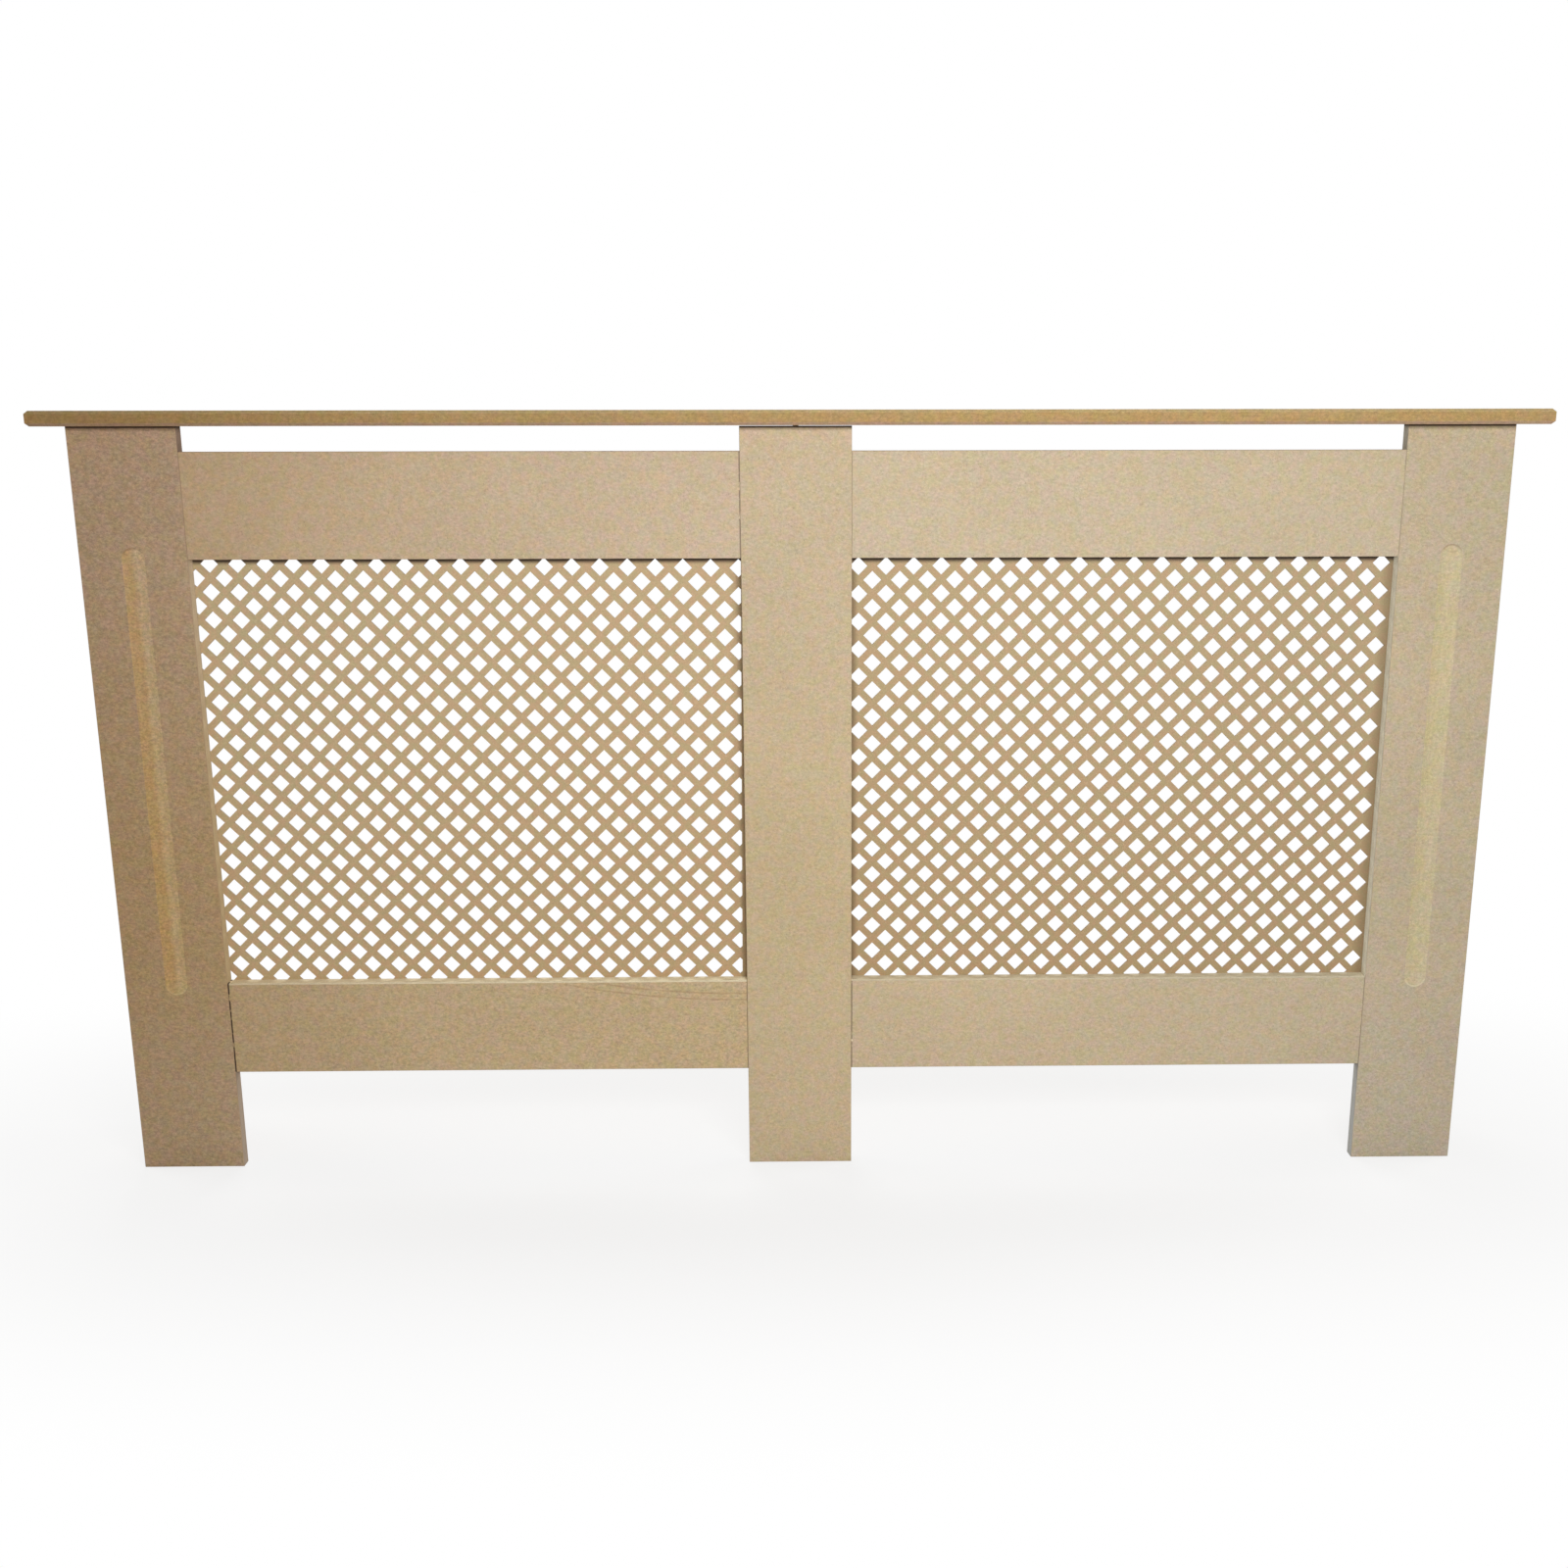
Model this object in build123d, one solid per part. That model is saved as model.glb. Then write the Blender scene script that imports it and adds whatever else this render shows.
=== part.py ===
from build123d import *
import os
from math import cos, radians, sin, sqrt

# Radiator cover cabinet in unpainted fibreboard: a two-bay front frame with fluted legs, a diamond
# grille behind each opening, side panels back to the wall, and a top shelf.
# Millimetres, +Z up. The front faces -Y and the wall is at +Y. The origin is on the floor, under the
# middle of the shelf's outline.

# ---- top shelf
shelf_length = 1520.0
shelf_depth = 190.0
shelf_thickness = 15.0
shelf_overhang = 28.0  # past the frame, at the front and at each end
shelf_chamfer = 3.0  # front and end arrises, above and below
body_height = 800.0  # floor to the underside of the shelf

# ---- front frame
frame_thickness = 15.0
leg_width = 110.0
stile_width = 114.0
stile_gap = 0.5  # the stile stops this far under the shelf
foot_clearance = 112.0  # floor to the underside of the bottom rails
bottom_rail_height = 102.0
top_rail_height = 107.0
air_slot = 25.0  # top rail to the underside of the shelf
board_arris = 0.5  # chamfer round the front face of each frame board
sill_arris = 1.5  # the same along the upper front edge of the bottom rails

# ---- flute in each leg
flute_width = 24.0
flute_depth = 2.0
flute_reach = 13.0  # past the top and the bottom of the openings

# ---- grille sheets
grille_thickness = 3.0
grille_lap = 30.0  # behind the frame, on every side of the opening
hole_side = 13.3
lattice_strip = 7.0  # solid strip between neighbouring holes

# Each sheet sits a little off true behind its opening: its middle hole lies this far right and up
# from the opening's centre, and the sheet is turned by degrees, anticlockwise seen from the front.
grille_shift = {"left": (4.2, 3.5), "right": (-1.7, 3.3)}
grille_skew = {"left": -0.6, "right": 0.2}
# How far the field of holes runs past the left, right, bottom and top of the opening.
grille_field = {"left": (18.8, -3.0, 9.5, 1.8), "right": (4.0, -1.0, 9.5, 3.9)}

# ---- side panels
side_thickness = 12.0
skirting_height = 125.0  # notch over the skirting board
skirting_depth = 20.0

# ---- corner battens
batten_size = 20.0
batten_end_gap = 20.0  # from the floor and from the shelf

# ---- dowels
dowel_diameter = 6.0
dowel_length = 30.0
dowel_inset = 26.0  # from the upper and lower edge of a rail
leg_dowel_inset = 26.0  # from each side of a leg's top
shelf_dowel_rise = 10.0  # into the shelf
dowel_fit = 0.05  # radial clearance in the hole
dowel_end_room = 1.0  # hole deeper than the dowel at each end

# ---- steel angles
bracket_leaf = 25.0
bracket_width = 16.0
bracket_thickness = 2.0
bracket_bend = 1.0  # inside radius of the bend
bracket_hole = 4.5
bracket_hole_place = 16.0  # from the outer corner
shelf_bracket_inset = 30.0  # from the front and back edges of a side panel
wall_bracket_rise = 250.0  # from the floor up to the lower one
wall_bracket_drop = 100.0  # from the shelf down to the upper one

# ---- screws: shank diameter, length from the head's seat, head diameter and height, driver cross
batten_screw = {"shank": 4.0, "length": 28.0, "head": 8.0, "rise": 2.2, "cross": 4.2}
grille_screw = {"shank": 3.0, "length": 10.0, "head": 6.4, "rise": 1.8, "cross": 3.4}
bracket_screw = {"shank": 3.5, "length": 10.0, "head": 7.0, "rise": 2.0, "cross": 3.8}
screw_tip = 1.5  # length of the point
cross_width = 0.9
cross_depth = 1.2
pan_round = 0.9  # rounding of a pan head's rim
screw_fit = 0.05  # radial clearance of a pilot hole
screw_end_room = 0.8
grille_screw_inset = 13.0  # from the sheet's upper and lower edge
grille_screw_end = 30.0  # first and last screw from the ends of the rail
grille_screws_per_edge = 5
batten_screw_inset = 60.0  # first and last screw from the batten's ends
batten_screws_per_row = 3
side_screw_offset = 35.0  # the screws into the side panel sit this much above those into the leg

# ---- derived places
frame_width = shelf_length - 2 * shelf_overhang
bay_width = (frame_width - 2 * leg_width - stile_width) / 2
bay_centre = (stile_width + bay_width) / 2
leg_inner = frame_width / 2 - leg_width
leg_centre = (frame_width - leg_width) / 2
side_inner = frame_width / 2 - side_thickness
front_y = -shelf_depth / 2 + shelf_overhang
back_y = front_y + frame_thickness
frame_mid_y = (front_y + back_y) / 2
wall_y = shelf_depth / 2
wall_bracket_heights = (wall_bracket_rise, body_height - wall_bracket_drop)
opening_low = foot_clearance + bottom_rail_height
top_rail_high = body_height - air_slot
opening_high = top_rail_high - top_rail_height
opening_height = opening_high - opening_low
opening_mid_z = (opening_low + opening_high) / 2
batten_low = batten_end_gap
batten_high = body_height - batten_end_gap
rail_heights = {"bottom": (foot_clearance, opening_low), "top": (opening_high, top_rail_high)}
sides = {"left": -1, "right": 1}
upright = (0, 0, 1)
from_floor = (Align.CENTER, Align.CENTER, Align.MIN)


# ---- plain shapes

def block(x_range, y_range, z_range):
    """A board between two corners."""
    size = [abs(high - low) for low, high in (x_range, y_range, z_range)]
    middle = [(low + high) / 2 for low, high in (x_range, y_range, z_range)]
    return Pos(*middle) * Box(*size)


def rod(start, direction, diameter, length):
    """A round bar, or the room for one, from a point along a direction."""
    return Plane(origin=start, z_dir=direction) * Cylinder(diameter / 2, length, align=from_floor)


def along(start, direction, distance):
    """The point at a distance from the start."""
    return tuple(a + b * distance for a, b in zip(start, direction))


def spread(first, last, count):
    """Even places from first to last."""
    return [first + (last - first) * index / (count - 1) for index in range(count)]


def ease_front(board, top_arris=board_arris):
    """Chamfer the arrises round a frame board's front face."""
    edges = board.faces().sort_by(Axis.Y)[0].edges().sort_by(Axis.Z)
    board = chamfer(edges[-1], top_arris)
    edges = board.faces().sort_by(Axis.Y)[0].edges().sort_by(Axis.Z)
    return chamfer(edges[:-1], board_arris)


# ---- dowels and their holes. A place is the start of a dowel and its direction.

def dowel(start, direction):
    return rod(start, direction, dowel_diameter, dowel_length)


def dowel_hole(start, direction):
    """Room for a dowel, with clearance round it and at both ends."""
    mouth = along(start, direction, -dowel_end_room)
    return rod(mouth, direction, dowel_diameter + 2 * dowel_fit, dowel_length + 2 * dowel_end_room)


def seam_dowels(x, row):
    """The two dowels across the seam at x, between an upright and one end of a rail."""
    low, high = rail_heights[row]
    start_x = x - dowel_length / 2
    return [((start_x, frame_mid_y, z), (1, 0, 0)) for z in (low + dowel_inset, high - dowel_inset)]


def shelf_dowel(x, y):
    """An upright dowel that stands up into the shelf."""
    return [((x, y, body_height + shelf_dowel_rise - dowel_length), upright)]


def leg_top_dowels(side):
    insets = (leg_dowel_inset, leg_width - leg_dowel_inset)
    return [place for inset in insets for place in shelf_dowel(side * (leg_inner + inset), frame_mid_y)]


def stile_top_dowel():
    return shelf_dowel(0, frame_mid_y)


def side_top_dowel(side):
    return shelf_dowel(side * (side_inner + side_thickness / 2), (back_y + wall_y) / 2)


# ---- screws and their holes. A screw is drawn with its seat at the origin and its shank along +Z, and
# a place is where the seat goes and the direction of the shank.

def screw_shank(sizes):
    """The shank and its point."""
    straight = sizes["length"] - screw_tip
    tip = Cone(sizes["shank"] / 2, sizes["shank"] / 10, screw_tip, align=from_floor)
    return Cylinder(sizes["shank"] / 2, straight, align=from_floor) + Pos(0, 0, straight) * tip


def driver_cross(sizes):
    """The recess for the driver, from the top of the head inwards."""
    arm = Box(sizes["cross"], cross_width, cross_depth, align=from_floor)
    return arm + Rot(0, 0, 90) * arm


def pan_screw(sizes):
    """A screw whose low round head stands on the seat."""
    head = Cylinder(sizes["head"] / 2, sizes["rise"], align=from_floor)
    head = fillet(head.edges().sort_by(Axis.Z)[0], pan_round) - driver_cross(sizes)
    return screw_shank(sizes) + Pos(0, 0, -sizes["rise"]) * head


def flush_head(sizes, room=0.0):
    """A countersunk head, or its pocket where there is room round it."""
    wide = sizes["head"] / 2 + room
    narrow = sizes["shank"] / 2 + room
    return Cone(wide, narrow, sizes["rise"], align=from_floor)


def flush_screw(sizes):
    """A screw whose countersunk head ends at the seat."""
    return screw_shank(sizes) + flush_head(sizes) - driver_cross(sizes)


def placed(shape, places):
    """A copy of the shape at each place."""
    return [Plane(origin=seat, z_dir=direction) * shape for seat, direction in places]


def pilot(sizes, seat, direction):
    """Room for a shank, from its seat to just past its point."""
    return rod(seat, direction, sizes["shank"] + 2 * screw_fit, sizes["length"] + screw_end_room)


def batten_rows():
    return spread(batten_low + batten_screw_inset, batten_high - batten_screw_inset, batten_screws_per_row)


def leg_screws(side):
    """Through the corner batten, forwards into the leg."""
    x = side * (side_inner - batten_size / 2)
    return [((x, back_y + batten_size, z), (0, -1, 0)) for z in batten_rows()]


def side_screws(side):
    """Through the corner batten, outwards into the side panel."""
    x = side * (side_inner - batten_size)
    y = back_y + batten_size / 2
    return [((x, y, z + side_screw_offset), (side, 0, 0)) for z in batten_rows()]


def grille_screws(name):
    """Along the sheet's upper and lower margins, forwards into the rails."""
    edge = opening_height / 2 + grille_lap - grille_screw_inset
    last = bay_width / 2 - grille_screw_end
    face = back_y + grille_thickness
    places = spread(-last, last, grille_screws_per_edge)
    return [(on_sheet(name, x, z, face), (0, -1, 0)) for z in (-edge, edge) for x in places]


# ---- steel angles

def shelf_bracket_places():
    return (back_y + shelf_bracket_inset, wall_y - shelf_bracket_inset)


def make_bracket(corner, first_leaf, second_leaf):
    """A steel angle from its outer corner, with the directions of its two leaves."""
    leaf = block((0, bracket_leaf), (0, bracket_thickness), (-bracket_width / 2, bracket_width / 2))
    other = block((0, bracket_thickness), (0, bracket_leaf), (-bracket_width / 2, bracket_width / 2))
    angle = leaf + other
    upright_edges = angle.edges().filter_by(Axis.Z)
    inner = upright_edges.sort_by_distance((bracket_thickness, bracket_thickness, 0))[0]
    angle = fillet(inner, bracket_bend)
    outer = angle.edges().filter_by(Axis.Z).sort_by_distance((0, 0, 0))[0]
    angle = fillet(outer, bracket_bend + bracket_thickness)
    angle -= rod((bracket_hole_place, 0, 0), (0, 1, 0), bracket_hole, bracket_thickness)
    angle -= rod((0, bracket_hole_place, 0), (1, 0, 0), bracket_hole, bracket_thickness)
    normal = Vector(*first_leaf).cross(Vector(*second_leaf))
    return Plane(origin=corner, x_dir=first_leaf, z_dir=normal) * angle


def shelf_brackets(side):
    corner_x = side * side_inner
    return [make_bracket((corner_x, y, body_height), (-side, 0, 0), (0, 0, -1))
            for y in shelf_bracket_places()]


def wall_brackets(side):
    corner_x = side * side_inner
    return [make_bracket((corner_x, wall_y, z), (-side, 0, 0), (0, -1, 0)) for z in wall_bracket_heights]


def bracket_screws_up(side):
    """From the shelf brackets up into the shelf."""
    x = side * (side_inner - bracket_hole_place)
    return [((x, y, body_height - bracket_thickness), upright) for y in shelf_bracket_places()]


def bracket_screws_out(side):
    """From the shelf and wall brackets outwards into the side panel."""
    x = side * (side_inner - bracket_thickness)
    under_shelf = [(x, y, body_height - bracket_hole_place) for y in shelf_bracket_places()]
    at_wall = [(x, wall_y - bracket_hole_place, z) for z in wall_bracket_heights]
    return [(seat, (side, 0, 0)) for seat in under_shelf + at_wall]


# ---- grille sheets

def on_sheet(name, x, z, y):
    """A point from the sheet's own centre, turned with the sheet and set behind its opening."""
    turn = radians(grille_skew[name])
    across = x * cos(turn) - z * sin(turn)
    up = x * sin(turn) + z * cos(turn)
    return (sides[name] * bay_centre + across, y, opening_mid_z + up)


def clip(points, axis, limit, keep):
    """Cut a convex outline at a straight limit; keep is +1 for the part above it, -1 below."""
    kept = []
    for here, there in zip(points, points[1:] + points[:1]):
        here_in = keep * (here[axis] - limit) >= 0
        there_in = keep * (there[axis] - limit) >= 0
        if here_in:
            kept.append(here)
        if here_in != there_in:
            part = (limit - here[axis]) / (there[axis] - here[axis])
            kept.append(tuple(a + (b - a) * part for a, b in zip(here, there)))
    return kept


def hole_outlines(name):
    """A hole is cut where its centre lies in the field, and it stops at the field's edge."""
    past_left, past_right, past_bottom, past_top = grille_field[name]
    left, right = -bay_width / 2 - past_left, bay_width / 2 + past_right
    bottom, top = -opening_height / 2 - past_bottom, opening_height / 2 + past_top
    shift_x, shift_z = grille_shift[name]
    tip = hole_side / sqrt(2)
    half_step = (hole_side + lattice_strip) / sqrt(2)
    reach = int((bay_width + opening_height) / half_step)
    outlines = []
    for column in range(-reach, reach + 1):
        for row in range(-reach, reach + 1):
            x = shift_x + column * half_step
            z = shift_z + row * half_step
            in_step = (column + row) % 2 == 0
            if in_step and left < x < right and bottom < z < top:
                outline = [(x - tip, z), (x, z - tip), (x + tip, z), (x, z + tip)]
                outline = clip(clip(outline, 0, left, 1), 0, right, -1)
                outlines.append(clip(clip(outline, 1, bottom, 1), 1, top, -1))
    return outlines


def make_grille(name):
    half_width = bay_width / 2 + grille_lap
    half_height = opening_height / 2 + grille_lap
    rim = [(-half_width, -half_height), (half_width, -half_height),
           (half_width, half_height), (-half_width, half_height)]
    wires = []
    for outline in [rim] + hole_outlines(name):
        corners = [on_sheet(name, x, z, back_y) for x, z in outline]
        wires.append(Wire.make_polygon(corners, close=True))
    sheet = extrude(Face(wires[0], wires[1:]), amount=grille_thickness, dir=(0, 1, 0))
    return sheet - [pilot(grille_screw, *place) for place in grille_screws(name)]


# ---- boards

def make_flute(side):
    """A round-ended cove, the room of a ball-nosed cutter that runs straight up the leg."""
    radius = (flute_width ** 2 / 4 + flute_depth ** 2) / (2 * flute_depth)
    axis_y = front_y + flute_depth - radius
    low = opening_low - flute_reach + flute_width / 2
    high = opening_high + flute_reach - flute_width / 2
    x = side * leg_centre
    cutter = rod((x, axis_y, low), upright, 2 * radius, high - low)
    return [cutter] + [Pos(x, axis_y, z) * Sphere(radius) for z in (low, high)]


def make_leg(name):
    side = sides[name]
    x_range = (side * leg_inner, side * frame_width / 2)
    leg = ease_front(block(x_range, (front_y, back_y), (0, body_height)))
    dowels = leg_top_dowels(side)
    for row in rail_heights:
        dowels += seam_dowels(side * leg_inner, row)
    holes = [dowel_hole(*place) for place in dowels]
    holes += [pilot(batten_screw, *place) for place in leg_screws(side)]
    return leg - make_flute(side) - holes


def make_stile():
    half = stile_width / 2
    stile = ease_front(block((-half, half), (front_y, back_y), (0, body_height - stile_gap)))
    dowels = stile_top_dowel()
    for x in (-half, half):
        for row in rail_heights:
            dowels += seam_dowels(x, row)
    return stile - [dowel_hole(*place) for place in dowels]


def make_rail(row, name):
    side = sides[name]
    rail = block((side * stile_width / 2, side * leg_inner), (front_y, back_y), rail_heights[row])
    rail = ease_front(rail, sill_arris if row == "bottom" else board_arris)
    ends = seam_dowels(side * stile_width / 2, row) + seam_dowels(side * leg_inner, row)
    holes = [dowel_hole(*place) for place in ends]
    holes += [pilot(grille_screw, *place) for place in grille_screws(name)]
    return rail - holes


def make_side_panel(name):
    side = sides[name]
    x_range = (side * side_inner, side * frame_width / 2)
    panel = block(x_range, (back_y, wall_y), (0, body_height))
    panel -= block(x_range, (wall_y - skirting_depth, wall_y), (0, skirting_height))
    holes = [dowel_hole(*place) for place in side_top_dowel(side)]
    holes += [pilot(batten_screw, *place) for place in side_screws(side)]
    holes += [pilot(bracket_screw, *place) for place in bracket_screws_out(side)]
    return panel - holes


def make_batten(name):
    side = sides[name]
    x_range = (side * (side_inner - batten_size), side * side_inner)
    batten = block(x_range, (back_y, back_y + batten_size), (batten_low, batten_high))
    places = leg_screws(side) + side_screws(side)
    pockets = placed(flush_head(batten_screw, screw_fit), places)
    return batten - [pilot(batten_screw, *place) for place in places] - pockets


def make_shelf():
    half = shelf_length / 2
    shelf = block((-half, half), (-wall_y, wall_y), (body_height, body_height + shelf_thickness))
    back = shelf.edges().group_by(Axis.Y)[-1]
    flat = shelf.edges().filter_by(Plane.XY)
    shelf = chamfer([edge for edge in flat if edge not in back], shelf_chamfer)
    dowels = stile_top_dowel()
    screws = []
    for side in sides.values():
        dowels += leg_top_dowels(side) + side_top_dowel(side)
        screws += bracket_screws_up(side)
    holes = [dowel_hole(*place) for place in dowels]
    return shelf - holes - [pilot(bracket_screw, *place) for place in screws]


# ---- groups of like pieces

def make_rail_dowels():
    seams = [side * x for side in sides.values() for x in (stile_width / 2, leg_inner)]
    return [dowel(*place) for x in seams for row in rail_heights for place in seam_dowels(x, row)]


def make_shelf_dowels():
    places = stile_top_dowel()
    for side in sides.values():
        places += leg_top_dowels(side) + side_top_dowel(side)
    return [dowel(*place) for place in places]


def make_batten_screws():
    places = [place for side in sides.values() for place in leg_screws(side) + side_screws(side)]
    return placed(flush_screw(batten_screw), places)


def make_grille_screws():
    places = [place for name in sides for place in grille_screws(name)]
    return placed(pan_screw(grille_screw), places)


def make_bracket_screws():
    places = []
    for side in sides.values():
        places += bracket_screws_up(side) + bracket_screws_out(side)
    return placed(pan_screw(bracket_screw), places)


parts = {
    "top_shelf": make_shelf(),
    "centre_stile": make_stile(),
    "rail_dowels": make_rail_dowels(),
    "shelf_dowels": make_shelf_dowels(),
    "batten_screws": make_batten_screws(),
    "grille_screws": make_grille_screws(),
    "bracket_screws": make_bracket_screws(),
    "shelf_brackets": [bracket for side in sides.values() for bracket in shelf_brackets(side)],
    "wall_brackets": [bracket for side in sides.values() for bracket in wall_brackets(side)],
}
for name in sides:
    parts[f"{name}_leg"] = make_leg(name)
    parts[f"top_rail_{name}"] = make_rail("top", name)
    parts[f"bottom_rail_{name}"] = make_rail("bottom", name)
    parts[f"grille_{name}"] = make_grille(name)
    parts[f"side_panel_{name}"] = make_side_panel(name)
    parts[f"corner_batten_{name}"] = make_batten(name)

os.makedirs("parts", exist_ok=True)
for name, shape in parts.items():
    solid = Compound(children=shape) if isinstance(shape, list) else shape
    export_step(solid, f"parts/{name}.step")
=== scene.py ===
"""Looks of a radiator cover cabinet in raw fibreboard: camera, light, floor and materials.

Metres, with the front facing -Y and the wall at +Y. Sizes inside the materials are in millimetres.
"""
from math import radians

import bpy
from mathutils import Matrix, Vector


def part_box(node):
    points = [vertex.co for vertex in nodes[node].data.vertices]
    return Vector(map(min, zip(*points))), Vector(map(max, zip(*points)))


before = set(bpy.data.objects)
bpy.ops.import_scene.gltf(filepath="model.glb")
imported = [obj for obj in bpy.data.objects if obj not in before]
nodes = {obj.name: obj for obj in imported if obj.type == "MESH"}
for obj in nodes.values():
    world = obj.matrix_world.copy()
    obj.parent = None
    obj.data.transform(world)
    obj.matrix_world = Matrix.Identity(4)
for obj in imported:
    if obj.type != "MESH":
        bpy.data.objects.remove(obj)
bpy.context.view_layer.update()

# ---- colours, linear
FACE = (0.55, 0.44, 0.295)
EDGE = (0.42, 0.32, 0.2)
SHELF_EDGE = (0.4, 0.265, 0.116)
# The shelf's arrises: a painted highlight on those facing up, painted shade on those facing down.
SHELF_UPPER_ARRIS_HIGHLIGHT = (0.57, 0.42, 0.21)
SHELF_UNDER_ARRIS_SHADE = (0.42, 0.285, 0.19)
GRILLE = (0.47, 0.335, 0.18)
SHADOWED = (0.13, 0.09, 0.045)
# Dark fibre, also laid on as painted shade at the top end of the flutes.
DARK_FIBRE_AND_SHADE = (0.2, 0.12, 0.07)
# Pale fibre, also laid on as a painted highlight at the foot of the flutes.
PALE_FIBRE_AND_HIGHLIGHT = (0.8, 0.7, 0.5)
# The dark of open seams, also laid on as painted shade under the shelf and under the top rails.
SEAM_AND_SHADE = (0.05, 0.03, 0.02)
SCUFF = (0.36, 0.22, 0.11)
EARLY_WOOD = (0.68, 0.5, 0.29)
LATE_WOOD = (0.5, 0.29, 0.12)
KNOT = (0.2, 0.09, 0.04)
BEECH_PALE = (0.62, 0.42, 0.25)
BEECH_DARK = (0.48, 0.3, 0.16)
BEECH_FLECK = (0.28, 0.15, 0.08)
ZINC_BRIGHT = (0.68, 0.69, 0.7)
ZINC_DULL = (0.56, 0.56, 0.55)
FLOOR_GREY = (0.7, 0.7, 0.7)
AMBIENT = (1.0, 0.95, 0.87)
WHITE = (1.0, 1.0, 1.0)

# ---- tints, which multiply a colour
UNCHANGED = (1.0, 1.0, 1.0)
FACE_CLOUDS = ((1.035, 0.97, 0.97), (0.955, 1.01, 0.93))
FACE_STRAW = ((1.0, 1.0, 0.92), (1.0, 1.0, 1.08))
SHEET_CLOUDS = ((1.05, 0.97, 0.95), (0.95, 1.02, 0.93))
HOLE_WALL = (0.85, 0.8, 0.75)
YELLOW_ZINC = (1.0, 0.93, 0.74)

# Each board's tint, partly its own colour and partly painted light and shade where the light falls
# off across the front. The order gives every board its own stretch of the patterns.
TINTS = {
    "top_shelf": (0.97, 0.92, 0.86),
    "left_leg": (0.95, 0.875, 0.86),
    "right_leg": (0.87, 0.895, 0.945),
    "centre_stile": (0.97, 0.97, 0.95),
    "top_rail_left": (1.06, 1.015, 1.045),
    "top_rail_right": (0.966, 0.986, 1.05),
    "bottom_rail_left": (0.985, 0.93, 0.855),
    "bottom_rail_right": (0.975, 0.98, 1.0),
    "side_panel_left": (0.97, 0.93, 0.9),
    "side_panel_right": (0.98, 0.97, 0.95),
    "grille_left": (1.11, 1.12, 1.18),
    "grille_right": (0.93, 0.95, 1.0),
}

# Each leg's flute, over the leg's own colour: its left half, then its right half. The two halves
# differ by painted light and shade.
FLUTE_HALVES_LIGHT = {
    "left_leg": ((1.115, 1.055, 0.835), (1.3, 1.36, 1.3)),
    "right_leg": ((1.11, 1.13, 0.99), (1.09, 1.12, 1.03)),
}

# The tone of a rail or a grille sheet beside its leg and beside the stile.
ACROSS = {
    "grille_left": ((1.065, 1.1, 1.16), (0.955, 0.95, 0.975)),
    "grille_right": ((0.935, 0.94, 0.975), (1.01, 0.995, 1.0)),
    "top_rail_left": ((1.03, 1.01, 0.98), (0.955, 0.98, 1.02)),
    "top_rail_right": ((0.955, 0.965, 0.96), (1.005, 1.005, 1.005)),
    "bottom_rail_left": ((1.03, 1.02, 1.03), (0.99, 0.99, 0.97)),
    "bottom_rail_right": ((0.955, 0.97, 1.0), (1.035, 1.02, 1.01)),
}

# The tone of the sheets at their foot and at their top, and the height between the two.
SHEET_UPWARD = ((0.98, 0.95, 0.92), (1.035, 1.055, 1.08))
SHEET_UPWARD_HEIGHT = 450.0

# The tone of each upright at its foot, above its lower third and at its top, and the two ranges
# of height in which it changes.
UPWARD = {
    "left_leg": ((0.995, 1.01, 1.03), (0.972, 0.935, 0.838), (1.012, 1.012, 1.09)),
    "right_leg": ((1.02, 1.05, 1.12), UNCHANGED, UNCHANGED),
    "centre_stile": ((1.05, 1.03, 1.04), (1.008, 0.99, 0.95), (1.014, 1.008, 1.07)),
}
UPWARD_BELOW = (40.0, 280.0)
UPWARD_ABOVE = (300.0, 740.0)

# Painted shade on the cabinet's left end, where the light falls off, and where along X it comes in.
LEFT_END_PAINTED_SHADE = (0.84, 0.78, 0.7)
LEFT_END_SHADE_RANGE = (-300.0, -800.0)

# ---- edges, with a colour of their own
# Each bottom rail's upper edge, painted paler as a highlight from above, so that it shows as a pale
# sill under the grille.
SILL_HIGHLIGHTS = {
    "bottom_rail_left": (0.89, 0.79, 0.56),
    "bottom_rail_right": (0.68, 0.6, 0.42),
}

# Each leg's inner edge, painted with the light and shade it gets: below the rails, beside the
# grille, and in the air slot.
INNER_EDGE_LIGHT = {
    "left_leg": ((0.42, 0.34, 0.27), (0.68, 0.57, 0.39), (0.37, 0.28, 0.21)),
    "right_leg": ((0.37, 0.36, 0.32), (0.88, 0.86, 0.72), (0.56, 0.54, 0.47)),
}
# The colour changes this far inside a rail, which is about half of its width.
BEHIND_RAIL = 50.0

# A surface is an edge where its normal has less than the first part in the direction of the
# board's thickness, which counts the 45-degree arrises in, and an arris down to the second.
EDGE_BELOW = 0.72
ARRIS_ABOVE = 0.5

# ---- strengths and marks, in millimetres where they are lengths
# How open the seam is at each rail's two ends, next to the leg and next to the stile.
SEAMS = {
    "top_rail_left": (0.12, 0.55),
    "top_rail_right": (0.16, 0.1),
    "bottom_rail_left": (1.15, 0.33),
    "bottom_rail_right": (0.33, 0.55),
}

# The painted shade on a grille sheet beside its leg and beside the stile: how strong, how wide, and
# how much of that width the lamp's own shadow already covers.
CORNER_SHADE = {
    "grille_left": ((0.1, 15.0, 0.0), (0.2, 15.0, 4.5)),
    "grille_right": ((0.55, 15.0, 0.0), (0.75, 8.0, 0.0)),
}

# How strong the face's grain is, where it isn't 1.
GRAIN = {"left_leg": 1.75, "bottom_rail_left": 1.5, "right_leg": 1.1}
SHELF_EDGE_GRAIN = 1.3

# How far apart two neighbours in TINTS take their patterns.
PATTERN_STEP = (173.0, 311.0, 57.0)

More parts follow.
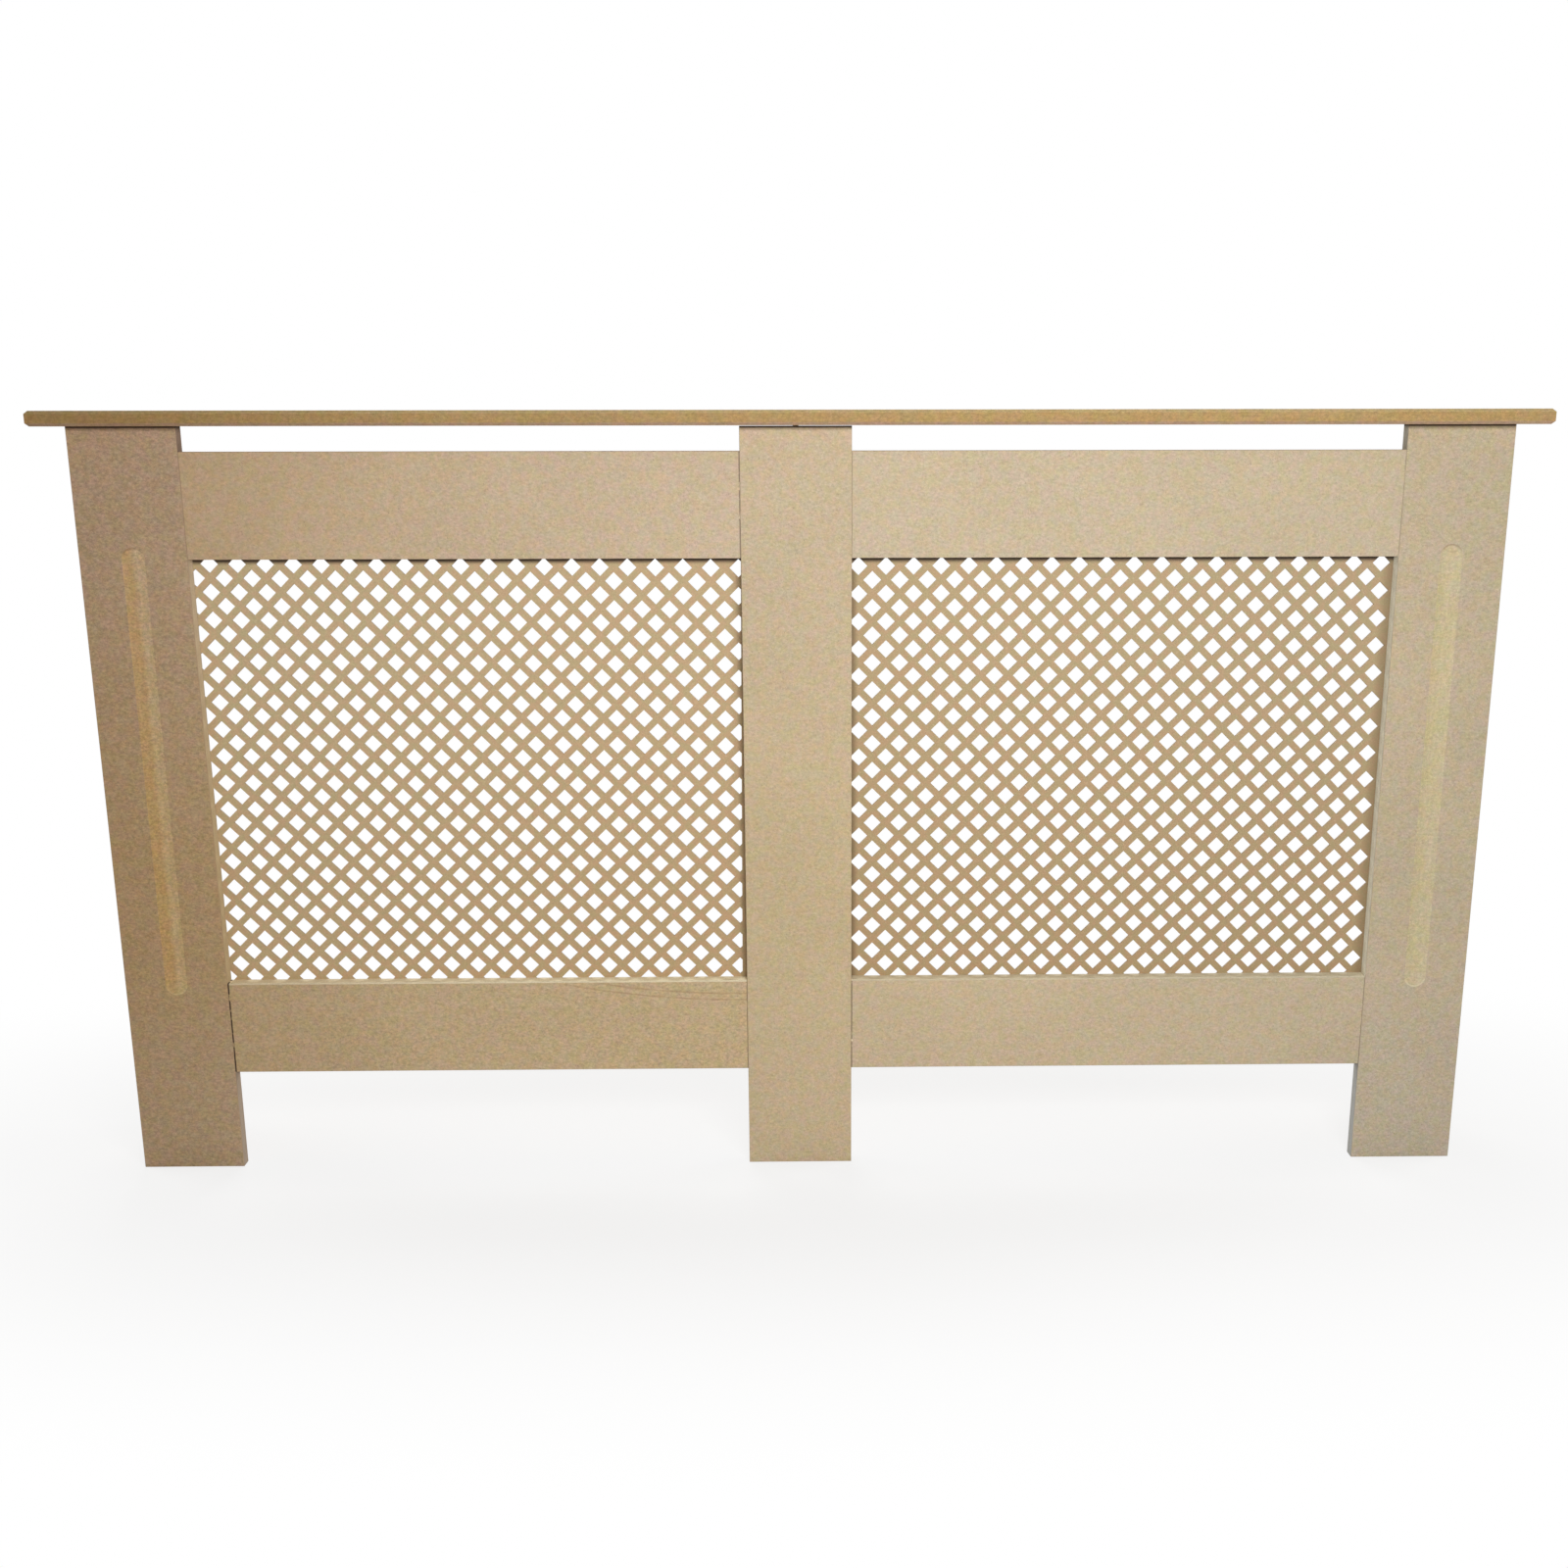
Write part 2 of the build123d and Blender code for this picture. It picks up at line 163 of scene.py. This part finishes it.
# Fibres: their angle in degrees, length, width, and the share of the cells that have one.
PALE_FIBRES = ((25, 4.5, 0.55, 0.2), (115, 3.0, 0.5, 0.16))
DARK_FIBRES = (70, 3.4, 0.5, 0.14)
SHEET_FIBRES = (40, 3.0, 0.5, 0.16)
BEECH_FLECKS = (0, 2.0, 0.4, 0.3)

# Spots: the size of a cell, the share of the cells that have one, and its radius in cells.
DARK_SPOTS = (19.0, 0.35, 0.045)
KNOTS = (90.0, 0.5, 0.07)

# No flute is as deep as this.
DEEPER_THAN_FLUTES = 5.0

# Two rubs on the left lower rail: height at the stile, rise over the length, and length. They
# start this far inside the rail's end.
SCUFFS_START = 3.0
SCUFFS = ((199.0, 12.0, 156.0), (191.8, 19.5, 199.0))
CHIP_PLACE = (57.0, -67.0, 144.0)
CHIP_SIZE = 1.8

# ---- camera, lamps and floor, in metres, degrees and watts
LENS = 40.98
SHIFT = (-0.031, 0.075)
CAMERA_PLACE = (0.0049, -1.9299, 0.8031)
CAMERA_TURN = (74.96, 0.09, -1.0)

# Each lamp's place, the point it shines at, its width and height, and its power.
LAMPS = {
    "key": ((0.36, -1.55, 0.98), (0.18, 0.0, 0.5), (0.7, 0.3), 20.0),
    "rear": ((-0.5, 2.2, 2.0), (0.0, 0.0, 0.5), (1.6, 1.2), 36.0),
    "left": ((-2.6, 0.9, 1.3), (-0.7, 0.0, 0.4), (1.2, 1.2), 26.0),
    "right": ((2.6, 0.9, 1.3), (0.7, 0.0, 0.4), (1.2, 1.2), 26.0),
}
AMBIENT_STRENGTH = 0.2
FLOOR_REACH = 12.0

# The shadow shows inside an oval, measured as a distance in a floor that is squeezed like this,
# and fades out between two distances. Near the object this share of the floor glows white.
SHADOW_OVAL = (0.62, 1.35, 0.0)
SHADOW_FADES = (0.3, 1.0)
WHITE_OVER_SHADOW = 0.78


class Graph:
    """The nodes of a material or a world. A value is a number, a tuple or another node's output."""

    def __init__(self, owner):
        owner.use_nodes = True
        self.owner = owner
        self.tree = owner.node_tree
        self.tree.nodes.clear()

    def add(self, kind, values, output=0, **settings):
        """Add a node, fill its inputs, and return one of its outputs, if it has any."""
        made = self.tree.nodes.new("ShaderNode" + kind)
        for key, value in settings.items():
            setattr(made, key, value)
        for key, value in values.items():
            self.feed(made.inputs[key], value)
        return made.outputs[output] if made.outputs else None

    def feed(self, socket, value):
        if isinstance(value, bpy.types.NodeSocket):
            self.tree.links.new(value, socket)
        elif socket.type == "RGBA":
            socket.default_value = (*value, 1.0)
        else:
            socket.default_value = value

    def math(self, operation, first, second=0.0):
        return self.add("Math", {0: first, 1: second}, operation=operation)

    def product(self, first, *others):
        """Numbers or masks, multiplied one after the other."""
        for other in others:
            first = self.math("MULTIPLY", first, other)
        return first

    def apart(self, first, second):
        """How far two numbers are apart."""
        return self.math("ABSOLUTE", self.math("SUBTRACT", first, second))

    def vector(self, operation, first, second, slot=1):
        return self.add("VectorMath", {0: first, slot: second}, operation=operation)

    def multiply(self, vector, factors):
        """A colour or a place times another one, part by part."""
        return self.vector("MULTIPLY", vector, factors)

    def scale(self, vector, factor):
        """A colour or a place times one number or mask."""
        return self.vector("SCALE", vector, factor, "Scale")

    def ramp(self, value, low, high, start=0.0, end=1.0):
        """A smooth change from start, where the value is low, to end, where it is high."""
        values = {"Value": value, "From Min": low, "From Max": high, "To Min": start, "To Max": end}
        return self.add("MapRange", values, interpolation_type="SMOOTHSTEP")

    def mix(self, factor, first, second):
        return self.add("Mix", {0: factor, 6: first, 7: second}, output=2, data_type="RGBA")

    def noise(self, place, size, detail=2.0, roughness=0.5, squeeze=None):
        """Noise from 0 to 1 with lumps about so many millimetres across.

        squeeze multiplies the place first: the lumps are longer where it is less than 1.
        """
        if squeeze:
            place = self.multiply(place, squeeze)
        values = {"Vector": place, "Scale": 1 / size, "Detail": detail, "Roughness": roughness}
        return self.add("TexNoise", values)

    def place_mm(self):
        """The object's own coordinates, in millimetres."""
        return self.scale(self.add("TexCoord", {}, "Object"), 1000.0)

    def finish(self, colour, roughness, height, relief, **constants):
        """Close the material with a bump of so many millimetres and one main shader."""
        bump = self.add("Bump", {"Strength": 1.0, "Distance": relief / 1000, "Height": height})
        values = {"Base Color": colour, "Roughness": roughness, "Normal": bump}
        values.update({key.replace("_", " "): value for key, value in constants.items()})
        shader = self.add("BsdfPrincipled", values)
        self.add("OutputMaterial", {"Surface": shader})
        return self.owner


def new_graph(name):
    return Graph(bpy.data.materials.new(name))


def times(colour, tint):
    return tuple(a * b for a, b in zip(colour, tint))


def in_mm(corner):
    return [1000 * value for value in corner]


def dress(name, material):
    for slot in nodes[name].material_slots:
        slot.material = material


# ---- fibreboard

class Board:
    """Where a point of a board lies, in millimetres, and whether it is on an edge or an arris.

    place has the two directions of the board's plane first and its thickness last.
    """

    def __init__(self, graph, name, seed):
        self.low, self.high = map(in_mm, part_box(name))
        sizes = [high - low for low, high in zip(self.low, self.high)]
        thin = sizes.index(min(sizes))
        order = {0: (1, 2, 0), 1: (0, 2, 1), 2: (0, 1, 2)}[thin]
        self.mm = graph.place_mm()
        split = graph.add("SeparateXYZ", {"Vector": self.mm}).node.outputs
        self.x, self.y, self.z = split
        turned = {number: split[axis] for number, axis in enumerate(order)}
        step = tuple(seed * value for value in PATTERN_STEP)
        self.place = graph.vector("ADD", graph.add("CombineXYZ", turned), step)
        middle = (self.low[thin] + self.high[thin]) / 2
        self.depth = graph.math("DIVIDE", graph.apart(split[thin], middle), sizes[thin] / 2)
        true_normal = graph.add("NewGeometry", {}, "True Normal")
        normals = graph.add("SeparateXYZ", {"Vector": true_normal}).node.outputs
        self.normal_x, self.normal_z = normals[0], normals[2]
        across = graph.math("ABSOLUTE", normals[thin])
        self.is_edge = graph.math("LESS_THAN", across, EDGE_BELOW)
        self.is_arris = graph.product(self.is_edge, graph.math("GREATER_THAN", across, ARRIS_ABOVE))


def drawn_cells(graph, distance, share):
    """A mask of the pattern's cells that a draw picks; share is their part of all cells."""
    lottery = graph.add("SeparateColor", {"Color": distance.node.outputs["Color"]})
    return graph.math("GREATER_THAN", lottery, 1 - share)


def fibres(graph, place, angle, length, width, share):
    """A mask of fibres at one angle in the board's plane, one in each drawn cell."""
    turn = {"Vector": place, "Angle": radians(angle)}
    turned = graph.add("VectorRotate", turn, rotation_type="Z_AXIS")
    cells = graph.multiply(turned, (1 / length, 1 / width, 1 / width))
    distance = graph.add("TexVoronoi", {"Vector": cells, "Scale": 1.0}, "Distance")
    return graph.product(drawn_cells(graph, distance, share), graph.ramp(distance, 0.5, 0.2))


def spots(graph, place, size, share, radius):
    """A mask of round spots, one in each drawn cell."""
    distance = graph.add("TexVoronoi", {"Vector": place, "Scale": 1 / size}, "Distance")
    spot = graph.ramp(distance, radius, radius / 2)
    return graph.product(drawn_cells(graph, distance, share), spot)


def mottled(graph, board, colour, strength):
    """Soft clouds of warmer and cooler fibre with a grain over them; also returns the grain."""
    cloud = graph.ramp(graph.noise(board.place, 11.0, detail=3.0, roughness=0.65), 0.35, 0.65)
    colour = graph.multiply(colour, graph.mix(cloud, *FACE_CLOUDS))
    elsewhere = graph.vector("ADD", board.place, (400.0, 900.0, 0.0))
    straw = graph.ramp(graph.noise(elsewhere, 10.0), 0.35, 0.65)
    colour = graph.multiply(colour, graph.mix(straw, *FACE_STRAW))
    patch = graph.noise(board.place, 110.0)
    grain = graph.noise(board.place, 3.0, detail=5.0, roughness=0.8, squeeze=(0.8, 1.15, 1.0))
    light = graph.math("ADD", graph.product(patch, 0.14), graph.product(grain, strength))
    light = graph.math("ADD", light, 0.93 - strength / 2)
    return graph.scale(colour, light), grain


def sanded_face(graph, board, name):
    """The pressed and sanded face: soft mottling, with short fibres lying every way."""
    colour, grain = mottled(graph, board, times(FACE, TINTS[name]), GRAIN.get(name, 1.0))
    pale = graph.math("MAXIMUM", *(fibres(graph, board.place, *kind) for kind in PALE_FIBRES))
    dark = graph.math("MAXIMUM", fibres(graph, board.place, *DARK_FIBRES),
                      spots(graph, board.place, *DARK_SPOTS))
    colour = graph.mix(graph.product(pale, 0.32), colour, PALE_FIBRE_AND_HIGHLIGHT)
    colour = graph.mix(graph.product(dark, 0.42), colour, DARK_FIBRE_AND_SHADE)
    height = graph.math("ADD", grain, graph.product(pale, 0.4))
    return colour, height


def sawn_edge(graph, board, base):
    """A cut edge: the open core in thin layers, darker towards both faces; also its relief."""
    layers = graph.noise(board.place, 0.9, detail=3.0, roughness=0.6, squeeze=(0.06, 0.06, 1.0))
    open_core = graph.noise(board.place, 1.1, detail=3.0, roughness=0.7)
    pits = graph.ramp(open_core, 0.42, 0.3)
    skin = graph.ramp(board.depth, 0.55, 1.0)
    light = graph.math("ADD", graph.product(layers, 0.4), graph.product(open_core, 0.5))
    light = graph.math("SUBTRACT", graph.math("ADD", light, 0.6), graph.product(skin, 0.12))
    colour = graph.mix(graph.product(pits, 0.35), graph.scale(base, light), DARK_FIBRE_AND_SHADE)
    return colour, open_core


def opening_sides(side):
    """Where the rails of one side meet their leg and the stile, and the upper rail's underside."""
    low, high = map(in_mm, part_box("top_rail_" + side))
    if side == "left":
        return low[0], high[0], low[2]
    return high[0], low[0], low[2]


def open_seams(graph, board, name, colour):
    """The dark line where a rail's ends don't quite close on the leg and the stile."""
    leg_x, stile_x, _ = opening_sides(name.split("_")[-1])
    bridges = graph.ramp(graph.noise(board.mm, 9.0, roughness=0.6), 0.36, 0.46)
    for end, strength in zip((leg_x, stile_x), SEAMS[name]):
        width = 0.9 + 1.2 * strength
        line = graph.ramp(graph.apart(board.x, end), width, width * 0.4)
        colour = graph.mix(graph.product(line, bridges, strength), colour, SEAM_AND_SHADE)
    return colour


def old_scuffs(graph, board, colour):
    """Two faint curved rubs that run in from the upper edge towards the stile."""
    from_stile = graph.math("SUBTRACT", board.high[0] - SCUFFS_START, board.x)
    broken = graph.noise(board.mm, 16.0, detail=3.0, roughness=0.7)
    broken = graph.ramp(broken, 0.3, 0.6, 0.45, 1.0)
    for start_z, rise, run in SCUFFS:
        part = graph.math("DIVIDE", from_stile, run)
        line_z = graph.math("ADD", start_z, graph.product(part, part, rise))
        line = graph.ramp(graph.apart(board.z, line_z), 1.5, 0.3)
        rub = graph.product(line, graph.ramp(part, 1.08, 0.9), broken, 0.5)
        colour = graph.mix(rub, colour, SCUFF)
    return colour


def chip(graph, board, colour):
    """A small broken spot where pale core fibre shows."""
    away = graph.add("VectorMath", {0: board.mm, 1: CHIP_PLACE}, "Value", operation="DISTANCE")
    return graph.mix(graph.ramp(away, CHIP_SIZE, CHIP_SIZE / 2), colour, PALE_FIBRE_AND_HIGHLIGHT)


def painted_shade_under_shelf(graph, board, colour):
    """Painted shade: the dark line at the top of the uprights, where no light gets in under the
    shelf.
    """
    top = board.high[2]
    colour = graph.mix(graph.ramp(board.z, top - 5.0, top - 1.0, 0.0, 0.35), colour, SHADOWED)
    return graph.mix(graph.ramp(board.z, top - 2.2, top - 1.2, 0.0, 0.9), colour, SEAM_AND_SHADE)


def painted_light_inner_edge(graph, board, name):
    """Painted light and shade on a leg's edge towards the grille: its colour changes at the rails,
    which hide the change.
    """
    foot, opening, slot = INNER_EDGE_LIGHT[name]
    behind_bottom_rail = 1000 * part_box("bottom_rail_left")[0][2] + BEHIND_RAIL
    behind_top_rail = 1000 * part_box("top_rail_left")[1][2] - BEHIND_RAIL
    colour = graph.mix(graph.math("GREATER_THAN", board.z, behind_bottom_rail), foot, opening)
    return graph.mix(graph.math("GREATER_THAN", board.z, behind_top_rail), colour, slot)


def cutter_groove(graph, board, name, colour):
    """The flute: cut through the skin, so paler than the face, with painted light and shade on its
    two halves, painted shade at its top end and a painted highlight at its foot.
    """
    face_y = board.low[1]
    inside = graph.product(graph.ramp(board.y, face_y + 0.02, face_y + 0.15),
                           graph.math("LESS_THAN", board.y, face_y + DEEPER_THAN_FLUTES),
                           graph.math("SUBTRACT", 1.0, board.is_edge))
    lip = graph.product(inside, graph.ramp(board.y, face_y + 0.8, face_y + 0.3))
    middle = (board.low[0] + board.high[0]) / 2
    wander = graph.math("SUBTRACT", graph.noise(board.place, 30.0), 0.5)
    across = graph.math("ADD", board.x, graph.product(wander, 8.0))
    # Painted light and shade: each half of the flute takes its own tint.
    core_and_painted_light = graph.mix(graph.ramp(across, middle - 4.0, middle + 4.0), *FLUTE_HALVES_LIGHT[name])
    streak = graph.noise(board.place, 3.0, detail=3.0, roughness=0.6, squeeze=(1.0, 0.12, 1.0))
    core_and_painted_light = graph.scale(core_and_painted_light, graph.ramp(streak, 0.25, 0.75, 0.95, 1.05))
    colour = graph.mix(inside, colour, graph.multiply(colour, core_and_painted_light))
    top_z = 1000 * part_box("top_rail_left")[0][2]
    low_z = 1000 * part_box("bottom_rail_left")[1][2]
    # Painted shade at the flute's top end, and a painted highlight at its foot.
    painted_shade_at_top = graph.product(lip, graph.ramp(board.z, top_z + 4, top_z + 9, 0.0, 0.4))
    painted_highlight_at_foot = graph.product(lip, graph.ramp(board.z, low_z, low_z - 9, 0.0, 0.32))
    colour = graph.mix(painted_shade_at_top, colour, DARK_FIBRE_AND_SHADE)
    return graph.mix(painted_highlight_at_foot, colour, PALE_FIBRE_AND_HIGHLIGHT)


def painted_shade_left_end(graph, board, colour):
    """Painted shade: the left end of the whole cabinet is darker and warmer than the rest, where
    the light falls off.
    """
    shade = graph.mix(graph.ramp(board.x, *LEFT_END_SHADE_RANGE), UNCHANGED, LEFT_END_PAINTED_SHADE)
    return graph.multiply(colour, shade)


def slow_tone(graph, board, name, colour):
    """The slow change of colour along a rail, and across and up a sheet."""
    leg_x, stile_x, rail_z = opening_sides(name.split("_")[-1])
    across = graph.mix(graph.ramp(board.x, leg_x, stile_x), *ACROSS[name])
    colour = graph.multiply(colour, across)
    if name.startswith("grille"):
        upward = graph.ramp(board.z, rail_z - SHEET_UPWARD_HEIGHT, rail_z)
        upward = graph.mix(upward, *SHEET_UPWARD)
        colour = graph.multiply(colour, upward)
    return colour


def upright_tone(graph, board, name, colour):
    """The slow change of colour up a leg or the stile."""
    foot, middle, top = UPWARD[name]
    tone = graph.mix(graph.ramp(board.z, *UPWARD_BELOW), foot, middle)
    tone = graph.mix(graph.ramp(board.z, *UPWARD_ABOVE), tone, top)
    return graph.multiply(colour, tone)


def edge_colour(graph, board, name):
    """The colour of a board's edges and arrises, before the layers and pits of its core."""
    if name == "top_shelf":
        # Painted light and shade: the shelf's arrises facing up are lighter, those facing down
        # darker.
        base = graph.mix(graph.ramp(board.normal_z, 0.3, 0.6), SHELF_EDGE, SHELF_UPPER_ARRIS_HIGHLIGHT)
        base = graph.mix(graph.ramp(board.normal_z, -0.3, -0.6), base, SHELF_UNDER_ARRIS_SHADE)
        return mottled(graph, board, base, SHELF_EDGE_GRAIN)[0]
    plain = times(EDGE, TINTS[name])
    # Painted highlight: the bottom rails' edge facing up is paler.
    if name in SILL_HIGHLIGHTS:
        return graph.mix(graph.ramp(board.normal_z, 0.3, 0.8), plain, SILL_HIGHLIGHTS[name])
    base = graph.mix(board.is_arris, plain, times(FACE, TINTS[name]))
    if name not in INNER_EDGE_LIGHT:
        return base
    # Painted light and shade on the legs' edges towards the grille.
    inward = board.normal_x if name == "left_leg" else graph.product(board.normal_x, -1.0)
    return graph.mix(graph.ramp(inward, 0.8, 0.9), base, painted_light_inner_edge(graph, board, name))


def fibreboard(name, seed):
    graph = new_graph("fibreboard_" + name)
    board = Board(graph, name, seed)
    face, height = sanded_face(graph, board, name)
    edge, edge_height = sawn_edge(graph, board, edge_colour(graph, board, name))
    colour = graph.mix(board.is_edge, face, edge)
    if name in FLUTE_HALVES_LIGHT:
        colour = cutter_groove(graph, board, name, colour)
    if name in SEAMS:
        colour = open_seams(graph, board, name, colour)
    if name == "bottom_rail_left":
        colour = old_scuffs(graph, board, colour)
    if name == "bottom_rail_right":
        colour = chip(graph, board, colour)
    if name in ACROSS:
        colour = slow_tone(graph, board, name, colour)
    if name in UPWARD:
        colour = painted_shade_under_shelf(graph, board, colour)
        colour = upright_tone(graph, board, name, colour)
    colour = painted_shade_left_end(graph, board, colour)
    height = graph.math("ADD", height, graph.product(board.is_edge, edge_height))
    roughness = graph.ramp(height, 0.2, 0.9, 0.72, 0.9)
    return graph.finish(colour, roughness, height, relief=0.12, Specular_IOR_Level=0.3)


def painted_shade_behind_frame(graph, board, name, colour):
    """Painted shade: the front is darker close to the boards round its opening, most of all in a
    painted shadow line under the top rail.
    """
    leg_x, stile_x, rail_z = opening_sides(name.split("_")[-1])
    front = graph.ramp(board.y, board.high[1], board.low[1])
    for end, (strength, width, covered) in zip((leg_x, stile_x), CORNER_SHADE[name]):
        away = graph.apart(board.x, end)
        shade = graph.product(front, graph.ramp(away, width, 0.0, 0.0, strength))
        if covered:
            shade = graph.product(shade, graph.ramp(away, covered / 3, covered))
        colour = graph.mix(shade, colour, SHADOWED)
    # Painted shadow line on the sheet just under the top rail.
    line = graph.ramp(graph.apart(board.z, rail_z), 7.5, 1.8, 0.0, 0.95)
    return graph.mix(graph.product(front, line), colour, SEAM_AND_SHADE)


def thin_sheet(name, seed):
    """The grille's thin board: browner and smoother, with darker walls in the punched holes."""
    graph = new_graph("sheet_" + name)
    board = Board(graph, name, seed)
    base = times(GRILLE, TINTS[name])
    cloud = graph.ramp(graph.noise(board.place, 9.0, detail=3.0, roughness=0.6), 0.35, 0.65)
    colour = graph.mix(cloud, *(times(base, tint) for tint in SHEET_CLOUDS))
    grain = graph.noise(board.place, 1.6, detail=4.0, roughness=0.75)
    colour = graph.scale(colour, graph.ramp(grain, 0.2, 0.8, 0.85, 1.15))
    pale = fibres(graph, board.place, *SHEET_FIBRES)
    colour = graph.mix(graph.product(pale, 0.25), colour, PALE_FIBRE_AND_HIGHLIGHT)
    colour = slow_tone(graph, board, name, colour)
    wall, _ = sawn_edge(graph, board, times(EDGE, HOLE_WALL))
    colour = painted_shade_behind_frame(graph, board, name, graph.mix(board.is_edge, colour, wall))
    roughness = graph.ramp(grain, 0.2, 0.8, 0.6, 0.8)
    return graph.finish(colour, roughness, grain, relief=0.08, Specular_IOR_Level=0.35)


# ---- timber and steel

def softwood(name, seed):
    """Planed softwood: growth rings cut lengthwise, fine grain lines and a few small knots."""
    graph = new_graph("softwood_" + name)
    board = Board(graph, name, seed)
    bend = graph.noise(board.mm, 16.0, squeeze=(1.0, 1.0, 0.035))
    reach = graph.math("ADD", board.x, graph.product(board.y, 0.4))
    rings = graph.math("ADD", graph.product(reach, 1.6), graph.product(bend, 22.0))
    late = graph.ramp(graph.math("SINE", rings), 0.1, 1.0)
    colour = graph.mix(graph.product(late, 0.65), EARLY_WOOD, LATE_WOOD)
    lines = graph.noise(board.mm, 0.7, detail=3.0, roughness=0.6, squeeze=(1.0, 1.0, 0.02))
    colour = graph.scale(colour, graph.ramp(lines, 0.2, 0.8, 0.86, 1.1))
    knot = spots(graph, board.mm, *KNOTS)
    colour = graph.mix(graph.product(knot, 0.8), colour, KNOT)
    roughness = graph.ramp(late, 0.0, 1.0, 0.66, 0.5)
    return graph.finish(colour, roughness, lines, relief=0.1, Specular_IOR_Level=0.35)


def beech():
    """Turned beech with its short dark flecks."""
    graph = new_graph("beech")
    place = graph.place_mm()
    grain = graph.noise(place, 1.5, detail=3.0, roughness=0.6)
    flecks = fibres(graph, place, *BEECH_FLECKS)
    colour = graph.mix(grain, BEECH_PALE, BEECH_DARK)
    colour = graph.mix(graph.product(flecks, 0.5), colour, BEECH_FLECK)
    roughness = graph.ramp(grain, 0.2, 0.8, 0.5, 0.65)
    return graph.finish(colour, roughness, grain, relief=0.05)


def zinc_steel(name, tint):
    """Zinc plate: a cool sheen with faint cloudy passivation and fine handling marks."""
    graph = new_graph("zinc_" + name)
    place = graph.place_mm()
    cloud = graph.noise(place, 5.0, detail=3.0, roughness=0.6)
    colour = graph.mix(cloud, times(ZINC_BRIGHT, tint), times(ZINC_DULL, tint))
    marks = graph.noise(place, 0.8, detail=3.0, roughness=0.7, squeeze=(0.15, 2.2, 0.4))
    roughness = graph.math("ADD", graph.product(marks, 0.2), graph.product(cloud, 0.25))
    roughness = graph.math("ADD", roughness, 0.14)
    return graph.finish(colour, roughness, marks, relief=0.02, Metallic=1.0)


for seed, name in enumerate(TINTS, start=1):
    make = thin_sheet if name.startswith("grille") else fibreboard
    dress(name, make(name, seed))
for seed, name in enumerate(("corner_batten_left", "corner_batten_right")):
    dress(name, softwood(name, seed))
for name in ("rail_dowels", "shelf_dowels"):
    dress(name, beech())
for name in ("shelf_brackets", "wall_brackets"):
    dress(name, zinc_steel(name, UNCHANGED))
for name in ("batten_screws", "grille_screws", "bracket_screws"):
    dress(name, zinc_steel(name, YELLOW_ZINC))


# ---- floor, background and light

def seen_directly(graph):
    """1 for rays that show the background, also in a reflection or through glass."""
    path = graph.add("LightPath", {}).node.outputs
    seen = graph.math("MAXIMUM", path["Is Camera Ray"], path["Is Glossy Ray"])
    return graph.math("MAXIMUM", seen, path["Is Transmission Ray"])


def make_floor():
    """A pale floor that keeps the soft shadow near the object and is white further out."""
    mesh = bpy.data.meshes.new("floor")
    signs = ((-1, -1), (1, -1), (1, 1), (-1, 1))
    corners = [(x * FLOOR_REACH, y * FLOOR_REACH, 0) for x, y in signs]
    mesh.from_pydata(corners, [], [(0, 1, 2, 3)])
    floor = bpy.data.objects.new("floor", mesh)
    bpy.context.scene.collection.objects.link(floor)
    graph = new_graph("floor")
    squeezed = graph.multiply(graph.add("TexCoord", {}, "Object"), SHADOW_OVAL)
    away = graph.add("VectorMath", {0: squeezed}, "Value", operation="LENGTH")
    white = graph.ramp(away, *SHADOW_FADES, WHITE_OVER_SHADOW, 1.0)
    shown = graph.product(seen_directly(graph), white)
    plain = graph.add("BsdfDiffuse", {"Color": FLOOR_GREY})
    glow = graph.add("Emission", {"Color": WHITE, "Strength": 1.0})
    surface = graph.add("MixShader", {0: shown, 1: plain, 2: glow})
    graph.add("OutputMaterial", {"Surface": surface})
    mesh.materials.append(graph.owner)


def make_world():
    """A white background, and a weak warm light from all round."""
    world = bpy.data.worlds.new("world")
    bpy.context.scene.world = world
    graph = Graph(world)
    ambient = graph.add("Background", {"Color": AMBIENT, "Strength": AMBIENT_STRENGTH})
    white = graph.add("Background", {"Color": WHITE, "Strength": 1.0})
    surface = graph.add("MixShader", {0: seen_directly(graph), 1: ambient, 2: white})
    graph.add("OutputWorld", {"Surface": surface})


def make_lamp(name, place, aim, size, power):
    data = bpy.data.lights.new(name, "AREA")
    data.shape = "RECTANGLE"
    data.size, data.size_y = size
    data.energy = power
    lamp = bpy.data.objects.new(name, data)
    bpy.context.scene.collection.objects.link(lamp)
    lamp.location = place
    lamp.rotation_euler = (Vector(aim) - lamp.location).to_track_quat("-Z", "Y").to_euler()
    lamp.visible_camera = False


def make_camera():
    """Just under the shelf's height, in front of the middle, tipped down; an off-centre crop."""
    data = bpy.data.cameras.new("camera")
    data.lens = LENS
    data.shift_x, data.shift_y = SHIFT
    camera = bpy.data.objects.new("camera", data)
    bpy.context.scene.collection.objects.link(camera)
    camera.location = CAMERA_PLACE
    camera.rotation_euler = [radians(degrees) for degrees in CAMERA_TURN]
    bpy.context.scene.camera = camera


make_floor()
make_world()
for name, lamp in LAMPS.items():
    make_lamp(name, *lamp)
make_camera()
bpy.context.scene.view_settings.view_transform = "Standard"
